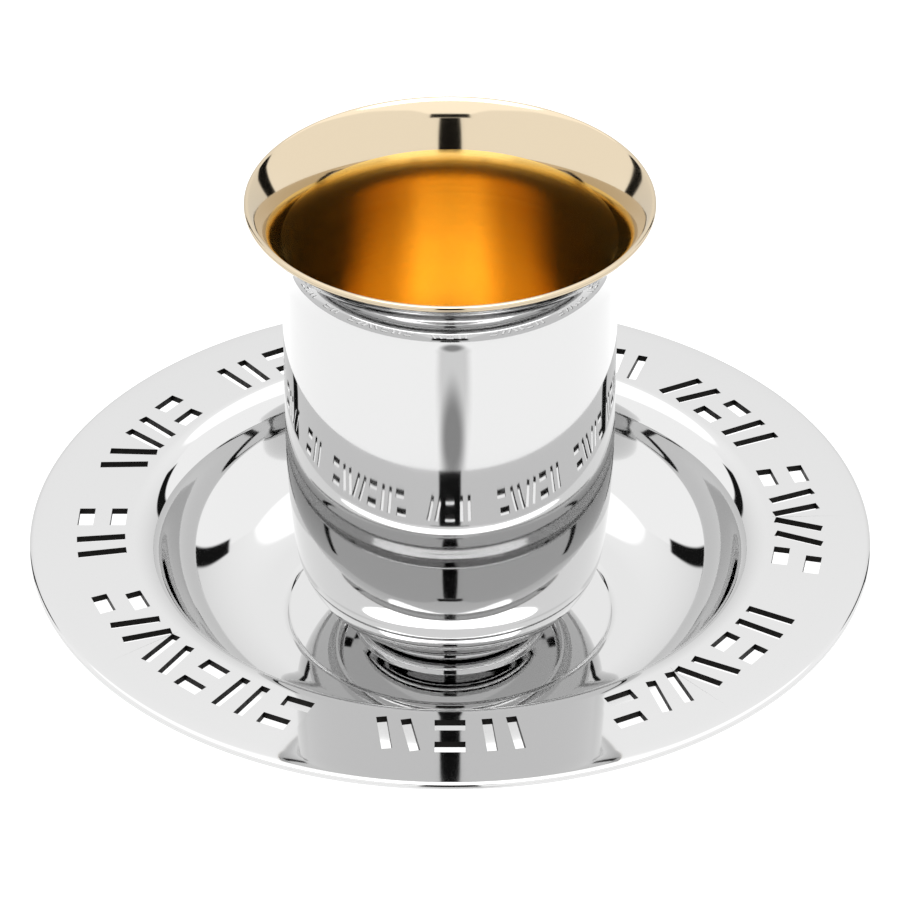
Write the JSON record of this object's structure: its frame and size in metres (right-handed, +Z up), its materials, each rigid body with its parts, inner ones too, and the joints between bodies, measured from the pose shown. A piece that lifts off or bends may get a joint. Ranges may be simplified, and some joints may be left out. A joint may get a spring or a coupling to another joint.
{
  "type": "kiddush cup",
  "caption": "Straight-sided metal wine cup with a flared, gilded mouth, standing in the recessed seat of a matching round saucer whose broad rim is pierced with rows of strokes.",
  "frame": {"origin": "on the table, under the common axis of the cup and saucer, at the flat underside of the saucer", "axes": "+Z up along the axis of the cup; -Y is the front"},
  "size_m": [0.1496, 0.1498, 0.0873],
  "materials": {
    "gilded_steel": "mirror-polished stainless steel outside; gold plating inside, polished on the flared lip and brushed below it",
    "polished_steel": "mirror-polished stainless steel, both faces"
  },
  "bodies": {
    "root": {"cup": "gilded_steel", "saucer": "polished_steel"}
  },
  "joints": []
}
